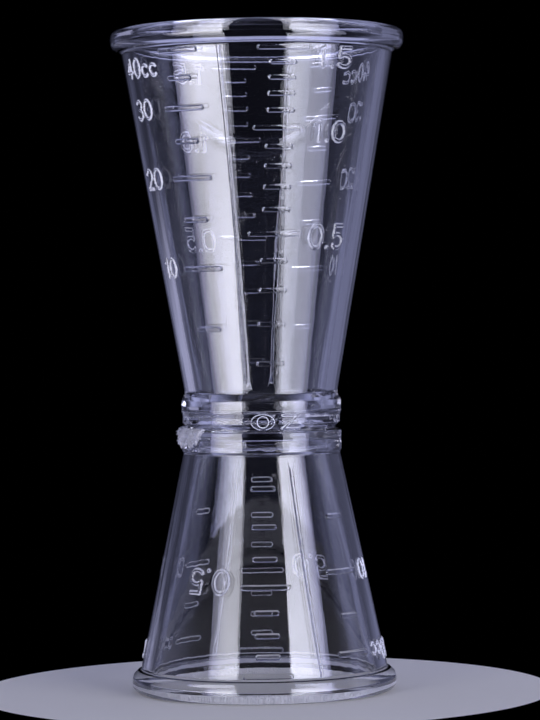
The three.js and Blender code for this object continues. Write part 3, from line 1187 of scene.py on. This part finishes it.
@dataclass
class CementSeam:
    """Cement left in the groove between the feet, and the lump that was squeezed out over the small foot.

    The thread's swells are rows of angle, width and size. The lump's drops and swell are rows of places
    along it and values there, and its teeth are rows of size, pace and start.
    """

    node: str
    slot: str
    clear: ClearPlastic
    cloudy: ClearPlastic
    thread_radius: float = 11.78
    thread_height: float = 41.70
    thread_depth: float = 0.70
    thread_flare: float = 0.42
    thread_round: float = 0.06
    thread_least: float = 0.22
    thread_columns: int = 360
    thread_rows: int = 16
    swells: tuple[tuple[float, float, float], ...] = (
        (50.0, 13.0, 0.65), (-30.0, 9.0, 0.3), (128.0, 16.0, 0.5),
    )
    lump_from: float = -44.0
    lump_to: float = -118.0
    lump_top: float = 42.1
    lump_drop: float = 3.9
    lump_drops: tuple[tuple[float, ...], ...] = ((0.0, 0.16, 0.45, 0.8, 1.0), (0.1, 0.95, 1.0, 0.9, 0.15))
    lump_face: float = 12.78
    lump_thick: float = 0.9
    lump_swell: tuple[tuple[float, ...], ...] = ((0.0, 0.16, 0.5, 0.8, 1.0), (0.1, 0.5, 1.0, 0.9, 0.2))
    lump_back: float = 0.04
    lump_columns: int = 220
    lump_rows: int = 144
    teeth: tuple[tuple[float, float, float], ...] = ((0.20, 23.0, 0.7), (0.14, 47.0, 0.0))
    fold_base: float = 0.05
    pleat_size: float = 0.4
    pleat_pace: float = 17.0
    pleat_fan: float = 5.0
    pleat_upright: float = 0.8
    lobe_size: float = 0.35
    lobe_pace: float = 2.15 * math.pi
    lobe_start: float = 0.3
    notch_size: float = 0.4
    notch_pace: float = 24.0
    notch_slant: float = 4.0
    torn_from: float = 0.35
    torn_over: float = 0.2

    def thread(self) -> tuple[np.ndarray, list[np.ndarray]]:
        """The cement in the groove as a bent tube that widens outwards, fuller where it swelled.

        Round the tube, a share goes from nought at its inner edge to one at its outer edge. The radius
        grows with the share, and so does the tube's height, which makes a wedge with round edges. Swells
        are bell curves of angle, width and size that scale the whole section.

        Returns:
            Points in millimetres, and arrays of faces.
        """
        turn = np.linspace(-np.pi, np.pi, self.thread_columns, endpoint=False)[:, None]
        loop = np.linspace(0.0, 2 * np.pi, self.thread_rows, endpoint=False)[None, :]
        size = np.full_like(turn, self.thread_least)
        for angle, width, grown in self.swells:
            size += grown * np.exp(-(((np.degrees(turn) - angle) / width) ** 2))
        share = (1.0 + np.cos(loop)) / 2
        rise = self.thread_flare * size * share
        radius = self.thread_radius + self.thread_depth * size * share
        height = self.thread_height + rise + (self.thread_round * size + rise) * np.sin(loop)
        points = round_axis(radius, turn, height).reshape(-1, 3)
        index = np.arange(turn.size * loop.size).reshape(turn.size, loop.size)
        along, around = np.roll(index, -1, axis=0), np.roll(index, -1, axis=1)
        both = np.roll(along, -1, axis=1)
        return points, [np.stack((index, along, both, around), axis=-1).reshape(-1, 4)]

    def lump(self) -> tuple[np.ndarray, list[np.ndarray]]:
        """The lump as a closed blade bent round the foot, with a torn lower edge and a folded face.

        The parameters run along the blade and round its thin section. Drop and thickness grow from a thin
        edge at the front to the full blade at the side, and saw teeth, which are sines without their sign,
        cut the drop. The face's folds are a base, sharp pleats that fan out downwards, lobes one above the
        other, and level notches where the blade is torn. A point in the middle of each end closes it.

        Returns:
            Points in millimetres, and arrays of faces.
        """
        along = np.linspace(0.0, 1.0, self.lump_columns)[:, None]
        loop = np.linspace(0.0, 2 * np.pi, self.lump_rows, endpoint=False)[None, :]
        teeth = sum(size * np.abs(np.sin(pace * along + start)) for size, pace, start in self.teeth)
        drop = self.lump_drop * np.interp(along, *self.lump_drops) * (1.0 - teeth)
        down = (1.0 - np.cos(loop)) / 2
        section = np.sqrt(np.clip(1.0 - (2 * down - 1.0) ** 2, 0.0, 1.0))
        face = self.lump_thick * np.interp(along, *self.lump_swell) * self.folds(along, down, drop)
        outer = np.where(np.sin(loop) > 0.0, face, self.lump_back) * section
        turn = np.radians(self.lump_from + (self.lump_to - self.lump_from) * along)
        points = round_axis(self.lump_face + outer, turn, self.lump_top - drop * down).reshape(-1, 3)
        index = np.arange(self.lump_columns * self.lump_rows).reshape(self.lump_columns, self.lump_rows)
        around = np.roll(index, -1, axis=1)
        sides = np.stack((index[:-1], index[1:], around[1:], around[:-1]), axis=-1).reshape(-1, 4)
        poles = np.broadcast_to(len(points) + np.arange(2)[:, None], (2, self.lump_rows))
        starts, stops = np.stack((index[0], around[-1])), np.stack((around[0], index[-1]))
        ends = np.stack((starts, stops, poles), axis=-1).reshape(-1, 3)
        return np.vstack((points, points[index[[0, -1]]].mean(axis=1))), [sides, ends]

    def folds(self, along: np.ndarray, down: np.ndarray, drop: np.ndarray) -> np.ndarray:
        """Thickness of the lump's face, as a share.

        Args:
            along: shares along the blade, as a column.
            down: shares down it, as a row.
            drop: the blade's drop along it in millimetres, as a column.

        Returns:
            The share at each place.
        """
        fan = self.pleat_fan * down * (along - self.pleat_upright)
        pleat = 1.0 - np.abs(np.sin(self.pleat_pace * along + fan))
        depth = drop * down / self.lump_drop
        lobe = np.abs(np.sin(self.lobe_pace * depth + self.lobe_start))
        notch = 1.0 - np.abs(np.sin(self.notch_pace * depth + self.notch_slant * along))
        torn = np.clip((along - self.torn_from) / self.torn_over, 0.0, 1.0)
        relief = self.pleat_size * pleat + self.lobe_size * lobe + self.notch_size * notch * torn
        return self.fold_base + relief

    def build(self) -> None:
        """Makes the thread and the lump, which together stand for the cement's node."""
        for name, shape, finish in (
            ("cement_thread", self.thread, self.clear),
            ("cement_lump", self.lump, self.cloudy),
        ):
            points, faces = shape()
            piece = skin_object(name, points * METRES, faces)
            seat_piece(piece, self.node, self.slot, finish.material())


# Studio


def grey(light: float) -> Rgba:
    """A grey of a brightness."""
    return (light, light, light, 1.0)


@dataclass(frozen=True)
class SoftBox:
    """A tall soft box beside the camera, unevenly lit as a real one is.

    Its edges are angles from the front, seen from the object's axis, and heights in metres. The lights
    across are shares from its inner to its outer edge, and those up it are radiances by height. The roll
    turns it about the line to the axis. What is seen through is the share of its light that is left for
    a ray which has gone straight through the object.
    """

    WATTS_FOR_LIGHT: ClassVar[float] = 4.0
    COOLING: ClassVar[float] = 0.7
    HALF_A_BOUNCE: ClassVar[float] = 0.5

    name: str
    inner: float
    outer: float
    lights_up: Levels
    lights_across: Levels
    colour: Colour
    roll: float = 0.0
    distance: float = 0.7
    seen_through: float = 0.12

    def place(self) -> None:
        """Adds the lamp, level and facing the axis. Its watts are four times its area and radiance."""
        bottom, top = self.lights_up[0][0], self.lights_up[-1][0]
        lamp = bpy.data.lights.new(self.name, "AREA")
        lamp.shape = "RECTANGLE"
        lamp.size = 2.0 * self.distance * math.tan(math.radians(abs(self.outer - self.inner)) / 2)
        lamp.size_y = top - bottom
        lamp.energy = self.WATTS_FOR_LIGHT * lamp.size * lamp.size_y * self.brightest()
        lamp.color = self.colour
        self.shade(lamp)
        turn = math.radians((self.inner + self.outer) / 2)
        out = Vector((math.sin(turn), -math.cos(turn), 0.0))
        level = (-out).to_track_quat("-Z", "Y").to_matrix()
        facing = Matrix.Rotation(math.radians(self.roll), 3, out) @ level
        middle = out * self.distance + Vector((0.0, 0.0, (top + bottom) / 2))
        box = bpy.data.objects.new(self.name, lamp)
        box.matrix_world = Matrix.Translation(middle) @ facing.to_4x4()
        box.visible_camera = False
        bpy.context.scene.collection.objects.link(box)
        LOG.info("%s: %.1f W", self.name, lamp.energy)

    def brightest(self) -> float:
        """The greatest radiance up the box."""
        return max(light for _, light in self.lights_up)

    def shade(self, lamp: bpy.types.AreaLight) -> None:
        """Lets the light vary over the lamp: the product of a ramp across it and a ramp up it.

        A ray that has gone straight through the clear walls meets a dimmer lamp, so that the object does
        not turn white against it from behind. Reflections and lit surfaces have the whole light.

        Args:
            lamp: the lamp's data.
        """
        lamp.use_nodes = True
        build = Nodes(lamp.node_tree)
        place = build.split(build.add("NewGeometry").outputs["Parametric"])
        outwards = self.outer > self.inner
        across = [
            (share if outwards else 1.0 - share, self.cooled(light)) for share, light in self.lights_across
        ]
        bottom, top = self.lights_up[0][0], self.lights_up[-1][0]
        up = [
            ((height - bottom) / (top - bottom), grey(light / self.brightest()))
            for height, light in self.lights_up
        ]
        product = build.add("VectorMath", operation="MULTIPLY")
        build.link(build.ramp(place["X"], sorted(across)), product.inputs[0])
        build.link(build.ramp(place["Y"], up), product.inputs[1])
        emission = lamp.node_tree.nodes["Emission"]
        build.link(product.outputs["Vector"], emission.inputs["Color"])
        ray = build.add("LightPath").outputs
        passed = build.calc("GREATER_THAN", ray["Transmission Depth"], self.HALF_A_BOUNCE)
        turned_back = build.calc("ADD", ray["Glossy Depth"], ray["Diffuse Depth"])
        straight = build.calc("LESS_THAN", turned_back, self.HALF_A_BOUNCE)
        behind = build.calc("MULTIPLY", passed, straight)
        strength = build.calc("MULTIPLY_ADD", behind, self.seen_through - 1.0, 1.0)
        build.link(strength, emission.inputs["Strength"])

    def cooled(self, light: float) -> Rgba:
        """A share of the light, cooler as it dims: the blue keeps a lower power of the share."""
        return (light, light, light ** self.COOLING, 1.0)


@dataclass(frozen=True)
class PhotoCamera:
    """The camera, from where the photograph shows the object.

    The focal length, the horizon and the object's axis are in pixels of the photograph's frame. The axis
    leans by a share of the way down.
    """

    frame_width: int = 540
    frame_height: int = 720
    focal: float = 3144.0
    millimetres_per_pixel: float = 0.1595
    horizon: float = 299.25
    eye_height: float = 62.28
    axis_at_horizon: float = 259.85
    axis_lean: float = 0.0125
    sensor: float = 36.0

    def place(self) -> None:
        """Adds the camera, looking at what the middle of the frame shows, rolled by the axis's lean."""
        distance = self.focal * self.millimetres_per_pixel
        drop = self.frame_height / 2 - self.horizon
        axis = self.axis_at_horizon + drop * self.axis_lean
        eye = Vector((0.0, -distance, self.eye_height)) * METRES
        across = (self.frame_width / 2 - axis) * self.millimetres_per_pixel
        aim = Vector((across, 0.0, self.eye_height - drop * self.millimetres_per_pixel)) * METRES
        forward = (aim - eye).normalized()
        right = forward.cross(Vector((0.0, 0.0, 1.0))).normalized()
        up = right.cross(forward)
        roll = Matrix.Rotation(self.axis_lean, 3, forward)
        axes = Matrix((roll @ right, roll @ up, -forward)).transposed()
        lens = bpy.data.cameras.new("photo_camera")
        lens.sensor_width = self.sensor
        lens.lens = self.focal / self.frame_height * self.sensor
        camera = bpy.data.objects.new("photo_camera", lens)
        camera.matrix_world = Matrix.Translation(eye) @ axes.to_4x4()
        bpy.context.scene.collection.objects.link(camera)
        bpy.context.scene.camera = camera


@dataclass
class Studio:
    """Plain studio: a pale round floor, soft boxes on both sides of the camera and a dark room.

    The room's lights are rows of angle from the front and brightness, in belts one above the other. Each
    edge is the span over which one belt goes over into the next, as the upward part of the way out.
    """

    floor_radius: float = 46.0
    floor_colour: Colour = (0.84, 0.82, 0.72)
    floor_roughness: float = 0.55
    floor_columns: int = 128
    floor_rings: int = 4
    room_colour: Colour = (0.56, 0.59, 1.0)
    low_light: Levels = (
        (-173.5, 0.0), (-168, 0.2), (-160, 0.37), (-150, 0.7), (-140, 0.6), (-130, 0.3), (-120, 0.4),
        (-110, 0.7), (-100, 0.4), (-90, 0.5), (-80, 0.4), (-72, 0.1), (0, 0.09), (80, 0.05), (100, 0.12),
        (110, 0.5), (120, 0.6), (130, 0.3), (140, 0.33), (150, 0.5), (160, 0.5), (168, 0.15), (173.5, 0.0),
    )
    middle_light: Levels = (
        (-173.5, 0.0), (-170, 0.04), (-165, 0.06), (-160, 0.3), (-154, 0.15), (-148, 0.08), (-142, 0.04),
        (-130, 0.05), (-115, 0.02), (-100, 0.1), (-90, 0.55), (-82, 0.1), (-70, 0.05), (0, 0.05),
        (76, 0.1), (84, 0.2), (91, 0.35), (97, 0.15), (105, 0.3), (115, 0.4), (125, 0.3), (135, 0.25),
        (145, 0.25), (155, 0.25), (161, 0.35), (166, 0.1), (170, 0.1), (173.5, 0.0),
    )
    high_light: Levels = (
        (-173.5, 0.0), (-164, 0.02), (-158, 0.09), (-150, 0.12), (-143, 0.04), (-130, 0.06), (-110, 0.12),
        (-95, 0.2), (-85, 0.2), (-75, 0.05), (0, 0.03), (80, 0.03), (90, 0.15), (99, 0.8), (106, 0.5),
        (115, 0.12), (130, 0.1), (160, 0.1), (166, 0.02), (173.5, 0.0),
    )
    top_light: Levels = (
        (-173.5, 0.6), (-100, 0.7), (-75, 0.5), (-45, 0.04), (45, 0.04), (75, 0.5), (100, 0.7),
        (173.5, 0.6),
    )
    zenith_light: Levels = ((-173.5, 0.6), (173.5, 0.6))
    low_edge: tuple[float, float] = (-0.35, -0.28)
    high_edge: tuple[float, float] = (-0.03, 0.03)
    top_edge: tuple[float, float] = (0.40, 0.50)
    zenith_edge: tuple[float, float] = (0.84, 0.95)
    boxes: tuple[SoftBox, ...] = (
        SoftBox(
            name="left_low_box",
            inner=-28.0,
            outer=-77.0,
            lights_up=((-0.60, 2.6), (-0.26, 3.3), (-0.17, 4.4), (-0.10, 4.2), (-0.06, 6.3), (0.04, 6.3)),
            lights_across=((0.0, 1.0), (0.6, 1.0), (0.75, 0.8), (0.9, 0.5), (1.0, 0.2)),
            colour=(0.89, 0.885, 1.0),
        ),
        SoftBox(
            name="left_high_box",
            inner=-26.0,
            outer=-55.0,
            lights_up=((0.05, 4.6), (0.21, 4.3), (0.28, 2.2), (0.40, 1.5), (0.46, 1.2)),
            lights_across=((0.0, 1.0), (0.5, 1.0), (1.0, 0.4)),
            colour=(0.87, 0.875, 1.0),
        ),
        SoftBox(
            name="right_low_box",
            inner=32.0,
            outer=77.0,
            lights_up=((-0.60, 3.4), (-0.26, 4.0), (-0.10, 3.4), (0.04, 4.0)),
            lights_across=((0.0, 1.0), (0.3, 1.0), (0.6, 0.8), (0.9, 0.65), (1.0, 0.3)),
            colour=(0.80, 0.82, 1.0),
            roll=20.0,
        ),
        SoftBox(
            name="right_waist_box",
            inner=30.0,
            outer=66.0,
            lights_up=((-0.06, 4.5), (0.045, 4.5)),
            lights_across=((0.0, 1.0), (0.5, 1.0), (1.0, 0.4)),
            colour=(0.80, 0.82, 1.0),
        ),
        SoftBox(
            name="right_high_box",
            inner=26.0,
            outer=66.0,
            lights_up=((0.05, 6.6), (0.21, 6.4), (0.27, 4.1), (0.31, 4.0), (0.36, 2.4), (0.50, 1.7)),
            lights_across=((0.0, 1.0), (0.5, 0.95), (0.8, 0.6), (1.0, 0.3)),
            colour=(0.84, 0.85, 1.0),
            roll=-4.0,
        ),
        SoftBox(
            name="left_back_box",
            inner=-124.0,
            outer=-155.0,
            lights_up=((-0.14, 0.35), (-0.02, 0.35), (0.02, 0.05), (0.03, 0.0)),
            lights_across=((0.0, 0.8), (0.3, 1.0), (1.0, 1.0)),
            colour=(0.66, 0.67, 1.0),
        ),
    )

    def floor(self) -> None:
        """Adds the floor: rings of a flat disc about the axis, closed at the middle and turned face up."""
        angles = np.linspace(0.0, 2 * np.pi, self.floor_columns, endpoint=False)
        rings = np.linspace(0.0, self.floor_radius, self.floor_rings + 1)[1:, None]
        points = round_axis(rings, angles[None, :], np.zeros((1, 1)))
        stack = RingStack()
        stack.add_pole(0.0, -1.0)
        normals = np.broadcast_to((0.0, 0.0, -1.0), points.shape)
        plain = np.zeros(points.shape[:2])
        stack.add_band(angles, Patch(points, normals, plain, plain.astype(np.int32)))
        face_up = np.diag((-1.0, 1.0, -1.0, 1.0))
        disc = stack.mesh("floor", face_up)
        material = bpy.data.materials.new("pale_floor")
        material.use_nodes = True
        shader = material.node_tree.nodes["Principled BSDF"]
        shader.inputs["Base Color"].default_value = (*self.floor_colour, 1.0)
        shader.inputs["Roughness"].default_value = self.floor_roughness
        disc.data.materials.append(material)

    def room(self) -> None:
        """Sets the world: dim cool light by the angle from the front, in belts from low to overhead."""
        world = bpy.data.worlds.new("dark_room")
        world.use_nodes = True
        world.node_tree.nodes.clear()
        build = Nodes(world.node_tree)
        way = build.split(build.add("TexCoord").outputs["Generated"])
        angle = build.calc("ARCTAN2", way["X"], build.calc("MULTIPLY", way["Y"], -1.0))
        share = build.rise(angle, -math.pi, math.pi, "LINEAR")
        light = build.ramp(share, self.stops(self.low_light))
        for lights, edge in (
            (self.middle_light, self.low_edge),
            (self.high_light, self.high_edge),
            (self.top_light, self.top_edge),
            (self.zenith_light, self.zenith_edge),
        ):
            belt = build.ramp(share, self.stops(lights))
            light = build.blend(build.rise(way["Z"], *edge), light, belt)
        unseen = build.calc("SUBTRACT", 1.0, build.add("LightPath").outputs["Is Camera Ray"])
        glow = build.add("Background")
        build.link(light, glow.inputs["Color"])
        build.link(unseen, glow.inputs["Strength"])
        output = build.add("OutputWorld")
        build.link(glow.outputs["Background"], output.inputs["Surface"])
        bpy.context.scene.world = world

    def stops(self, lights: Levels) -> list[tuple[float, Rgba]]:
        """A belt's lights by angle, as the room's colour at places on a ramp that goes once round."""
        return [
            ((degrees + 180.0) / 360.0, (*(light * part for part in self.room_colour), 1.0))
            for degrees, light in lights
        ]

    def build(self) -> None:
        """Adds floor, room, lamps and camera."""
        self.floor()
        self.room()
        for box in self.boxes:
            box.place()
        PhotoCamera().place()
        bpy.context.scene.view_settings.view_transform = "Standard"


def cup_finishes(cup: str) -> tuple[ClearPlastic, ...]:
    """The finishes of a cup's faces, in the order of their numbers."""
    clear, deep = (0.985, 0.985, 0.995), (0.955, 0.96, 0.99)
    return (
        ClearPlastic(f"{cup}_clear_plastic", clear, deep),
        ClearPlastic(f"{cup}_cemented_face", clear, deep, haze=0.0, ior=1.0),
        ClearPlastic(
            f"{cup}_satin_plastic", (0.95, 0.95, 1.0), (0.90, 0.91, 0.98),
            gloss=0.15, haze=0.15, grain=1.0, bump=0.2, transmission=0.65,
        ),
        ClearPlastic(
            f"{cup}_frosted_plastic", (0.93, 0.93, 1.0), (0.86, 0.87, 0.97),
            gloss=0.3, haze=0.2, grain=1.0, bump=0.3, transmission=0.35,
        ),
        ClearPlastic(
            f"{cup}_scuffed_plastic", (1.0, 1.0, 1.0), (0.9, 0.9, 0.97),
            gloss=0.25, haze=0.3, flow=0.0, grain=3.0, bump=0.5, transmission=0.0,
        ),
    )


def large_cup() -> MeasuringCup:
    """The upper, larger cup, with the recessed band round its foot."""
    return MeasuringCup(
        node="large_cup",
        slot="large_cup",
        finishes=cup_finishes("large"),
        stand=Stand.MOUTH_UP,
        mouth_diameter=44.6,
        neck_diameter=22.35,
        wall=1.8,
        floor=2.75,
        foot_diameter=25.5,
        foot_height=4.5,
        foot_slope=1.2,
        seam_bevel=0.9,
        rib_foot_angle=-8.6,
        rib_mouth_angle=-16.4,
        columns=(
            TickColumn(
                bar=LARGE_TICK, step=5.0, ticks=8, per_long=2,
                short=4.6, long=7.6, foot_angle=-35.0, mouth_angle=-35.3,
            ),
            TickColumn(
                bar=LARGE_TICK, step=2.667, ticks=15, per_long=5,
                short=4.5, long=8.5, foot_angle=6.0, mouth_angle=11.7,
            ),
        ),
        labels=(
            Label(METRIC_PEN, "40cc", -60.5, 56.75, 3.4, 9.6),
            Label(METRIC_PEN, "30", -62.5, 50.25, 3.5, 5.4),
            Label(METRIC_PEN, "20", -64.6, 39.45, 3.6, 5.8),
            Label(METRIC_PEN, "10", -62.3, 25.5, 3.4, 3.8),
            Label(OUNCE_PEN, "1.5", 34.6, 57.55, 3.6, 6.8),
            Label(OUNCE_PEN, "1.0", 35.6, 46.2, 3.6, 6.5),
            Label(OUNCE_PEN, "0.5", 40.0, 30.05, 4.2, 7.4),
        ),
        band_diameter=25.1,
        band_height=2.25,
        band_letters=Label(BAND_PEN, "OZ", 10.7, 1.29, 2.6, 8.0),
    )


def small_cup() -> MeasuringCup:
    """The lower, smaller cup, which stands on its mouth."""
    return MeasuringCup(
        node="small_cup",
        slot="small_cup",
        finishes=cup_finishes("small"),
        stand=Stand.MOUTH_DOWN,
        mouth_diameter=40.85,
        neck_diameter=23.5,
        wall=1.8,
        floor=1.25,
        foot_diameter=25.5,
        foot_height=3.2,
        foot_slope=0.4,
        seam_bevel=0.12,
        wear=1.2,
        rib_foot_angle=-19.1,
        rib_mouth_angle=-27.9,
        columns=(
            TickColumn(
                bar=SMALL_TICK, step=5.0, ticks=4, per_long=2,
                short=3.95, long=7.0, foot_angle=-51.9, mouth_angle=-46.8,
            ),
            TickColumn(
                bar=SMALL_TICK, step=2.835, ticks=8, per_long=4,
                short=3.95, long=7.95, foot_angle=-0.1, mouth_angle=-2.1,
            ),
        ),
        labels=(
            Label(METRIC_PEN, "20cc", -77.0, 34.9, 3.3, 9.6),
            Label(METRIC_PEN, "10", -73.0, 21.95, 3.4, 4.2),
            Label(OUNCE_PEN, "0.5", 31.0, 23.0, 4.2, 7.4),
        ),
    )


def cement_seam() -> CementSeam:
    """The cement between the feet: clear in the groove, and cloudy where it was squeezed out."""
    clear = ClearPlastic("clear_cement", (0.98, 0.98, 0.99), (0.93, 0.94, 0.98), haze=0.1, bump=0.1)
    cloudy = ClearPlastic(
        "cloudy_cement", (0.93, 0.93, 0.97), (0.80, 0.81, 0.90),
        haze=0.2, grain=0.1, bump=0.2, ior=1.5, transmission=0.8,
    )
    return CementSeam("cement_bead", "cement", clear, cloudy)


def main() -> None:
    """Builds the cups, the cement and the studio."""
    logging.basicConfig(level=logging.INFO, format="%(name)s: %(message)s")
    large_cup().build()
    small_cup().build()
    cement_seam().build()
    Studio().build()


if __name__ == "__main__":
    main()
